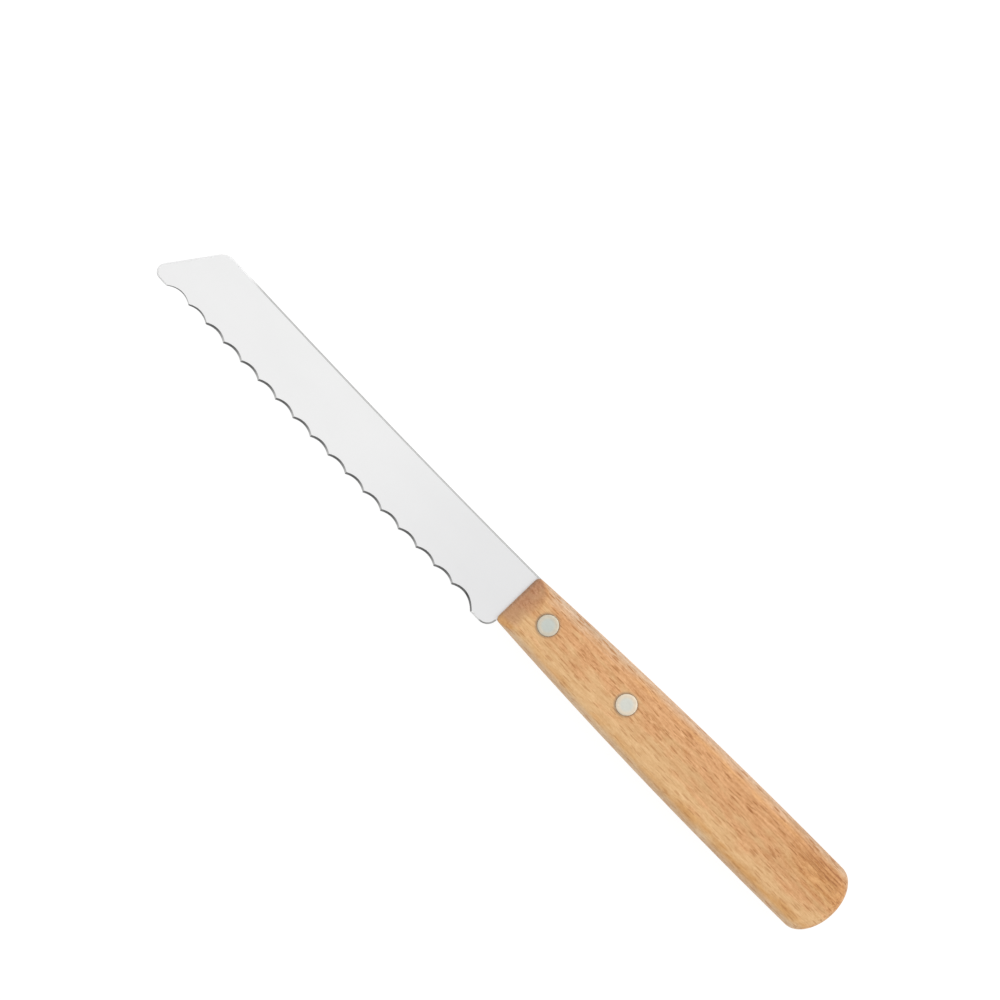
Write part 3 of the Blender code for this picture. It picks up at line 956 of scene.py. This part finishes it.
def ground_rivet(colours, rivet):
    """A light-metal rivet ground flush with the wood, with its rim a little warmer."""
    material, graph = new_finish("ground_rivet")
    place = graph.add("TexCoord", output="Object")
    rim = 0
    for centre in RIVET_CENTRES.values():
        away = graph.away_from(centre, place)
        rim = rim + graph.window(away, (0.22 * rivet.head, 0.40 * rivet.head),
                                 (rivet.head, 0.9 * rivet.head))
    rearward = graph.ease(graph.axis(place, "X"), *(centre.x for centre in RIVET_CENTRES.values()))
    tone = graph.mix(rearward, colours.rivet, colours.rivet_rear)
    # The rivet's own edge takes the same painted shade and shadow as the wood round it.
    tone = graph.mix(rivet_soil_and_shadow(graph, place, rivet), graph.shade(tone, rim, RIM_RATES), colours.seam)
    scratches = graph.swing(place, (3, 0.04, 0.04), 3)
    clouds = graph.swing(place, (1.2, 0.8, 0.8))
    graph.show(graph.surface(
        base_color=graph.scale(tone, 1 + 0.16 * scratches + 0.20 * clouds), metallic=1,
        roughness=0.42 + 0.16 * scratches + 0.12 * rim, normal=graph.bump(scratches, 0.0012)))
    return material


def shows_backdrop(graph):
    """1 for the rays that see the white backdrop: straight, mirrored or through glass."""
    path = graph.add("LightPath")
    seen = graph.math("MAXIMUM", path.out("Is Camera Ray"), path.out("Is Glossy Ray"))
    return graph.math("MAXIMUM", seen, path.out("Is Transmission Ray"))


def make_floor(stage, colours):
    """A white floor under the knife, which keeps its shadow."""
    material, graph = new_finish("floor")
    paint = graph.add("BsdfDiffuse", {}, {"Color": colours.floor})
    glow = graph.add("Emission", {}, {"Color": (1, 1, 1), "Strength": stage.floor_glow})
    glowing = shows_backdrop(graph) * stage.floor_share
    graph.show(graph.add("MixShader", {}, {0: glowing, 1: paint, 2: glow}))
    shape = bmesh.new()
    bmesh.ops.create_grid(shape, size=stage.floor_size / 2)
    floor = from_shape("floor", shape)
    floor.location.z = PACKED_LOW.z
    floor.data.materials.append(material)


def make_surround(stage):
    """White studio walls, and a dark card that only shows where the steel mirrors it."""
    world = bpy.data.worlds.new("studio")
    bpy.context.scene.world = world
    graph = Graph(world, "World")
    direction = graph.add("TexCoord", output="Generated")
    towards = Vector((math.cos(stage.card_turn), math.sin(stage.card_turn),
                      math.tan(stage.card_height))).normalized()
    card = graph.ease(graph.dot(direction, towards), math.cos(stage.card_spread), 1)
    mirrored = graph.add("LightPath", output="Is Glossy Ray")
    strength = (stage.sky + shows_backdrop(graph) * (1 - stage.sky)
                - mirrored * card * stage.card_depth)
    graph.show(graph.add("Background", {}, {"Color": (1, 1, 1), "Strength": strength}))


def make_lamp(stage):
    """One wide soft lamp from above, on the side of the spine and the butt."""
    light = bpy.data.lights.new("soft_lamp", "SUN")
    light.energy = stage.lamp
    light.angle = stage.lamp_spread
    lamp = bpy.data.objects.new("soft_lamp", light)
    lamp.rotation_euler = (-stage.lamp_tilt, 0, -stage.lamp_turn)
    bpy.context.scene.collection.objects.link(lamp)


def make_camera(stage):
    """A long lens straight over the knife."""
    data = bpy.data.cameras.new("camera")
    data.lens = stage.lens
    camera = bpy.data.objects.new("camera", data)
    distance = stage.picture_width / data.sensor_width * stage.lens
    camera.location = (*stage.centre, (HANDLE_LOW.z + HANDLE_HIGH.z) / 2 + distance)
    camera.rotation_euler.z = stage.turn
    bpy.context.scene.collection.objects.link(camera)
    bpy.context.scene.camera = camera


class BuildBlade(bpy.types.Operator):
    """Builds the serrated steel blade with its tang"""
    bl_idname = "table_knife.blade"
    bl_label = "Build blade"

    def execute(self, context):
        scene = context.scene
        colours, blade, handle = scene.knife_colours, scene.knife_blade, scene.knife_handle
        finishes = [polished_steel(colours),
                    ground_steel("hollow_grind", 0.06, colours.hollow),
                    ground_steel("fine_bevel", 0.04, colours.lap, colours.lap_heel_shade),
                    sheared_rim(colours, blade)]
        piece = make_blade(handle, blade, finishes)
        fit(piece, "blade", knife_origin(handle))
        return {"FINISHED"}


class BuildHandle(bpy.types.Operator):
    """Builds the slotted beech handle"""
    bl_idname = "table_knife.handle"
    bl_label = "Build handle"

    def execute(self, context):
        scene = context.scene
        handle, rivet = scene.knife_handle, scene.knife_rivet
        origin = knife_origin(handle)
        finish = beech(scene.knife_colours, rivet, origin)
        piece = make_handle(handle, rivet, scene.knife_blade, origin, finish)
        fit(piece, "handle", origin)
        return {"FINISHED"}


class BuildRivets(bpy.types.Operator):
    """Builds the two rivets that hold the tang"""
    bl_idname = "table_knife.rivets"
    bl_label = "Build rivets"

    def execute(self, context):
        rivet = context.scene.knife_rivet
        finish = ground_rivet(context.scene.knife_colours, rivet)
        for node, centre in RIVET_CENTRES.items():
            piece = turned(node + "_pin", rivet_profile(rivet))
            piece.data.materials.append(finish)
            fit(piece, node, centre)
        return {"FINISHED"}


class BuildStage(bpy.types.Operator):
    """Sets up the floor, the light and the camera"""
    bl_idname = "table_knife.stage"
    bl_label = "Build stage"

    def execute(self, context):
        stage = context.scene.knife_stage
        context.scene.view_settings.view_transform = "Standard"
        make_floor(stage, context.scene.knife_colours)
        make_surround(stage)
        make_lamp(stage)
        make_camera(stage)
        return {"FINISHED"}


class KnifePanel(bpy.types.Panel):
    """The knife's builders and its sizes and colours"""
    bl_idname = "VIEW3D_PT_table_knife"
    bl_label = "Table knife"
    bl_space_type = "VIEW_3D"
    bl_region_type = "UI"
    bl_category = "Table knife"

    def draw(self, context):
        for builder in BUILDERS:
            self.layout.operator(builder.bl_idname)
        for name, group in GROUPS.items():
            box = self.layout.box()
            box.label(text=name.replace("_", " ").capitalize())
            for value in group.__annotations__:
                box.prop(getattr(context.scene, name), value)


BUILDERS = (BuildBlade, BuildHandle, BuildRivets, BuildStage)
GROUPS = {"knife_handle": HandleSizes, "knife_blade": BladeSizes, "knife_rivet": RivetSizes,
          "knife_colours": Colours, "knife_stage": StageSizes}


def register():
    """Adds the sizes, the colours, the builders and the panel to Blender."""
    for name, group in GROUPS.items():
        bpy.utils.register_class(group)
        setattr(bpy.types.Scene, name, bpy.props.PointerProperty(type=group))
    for kind in (*BUILDERS, KnifePanel):
        bpy.utils.register_class(kind)


def unregister():
    """Takes them away again."""
    for kind in reversed((*BUILDERS, KnifePanel)):
        bpy.utils.unregister_class(kind)
    for name, group in GROUPS.items():
        delattr(bpy.types.Scene, name)
        bpy.utils.unregister_class(group)


def main():
    """Builds the knife and its stage."""
    register()
    bpy.ops.table_knife.blade()
    bpy.ops.table_knife.handle()
    bpy.ops.table_knife.rivets()
    bpy.ops.table_knife.stage()


if __name__ == "__main__":
    main()
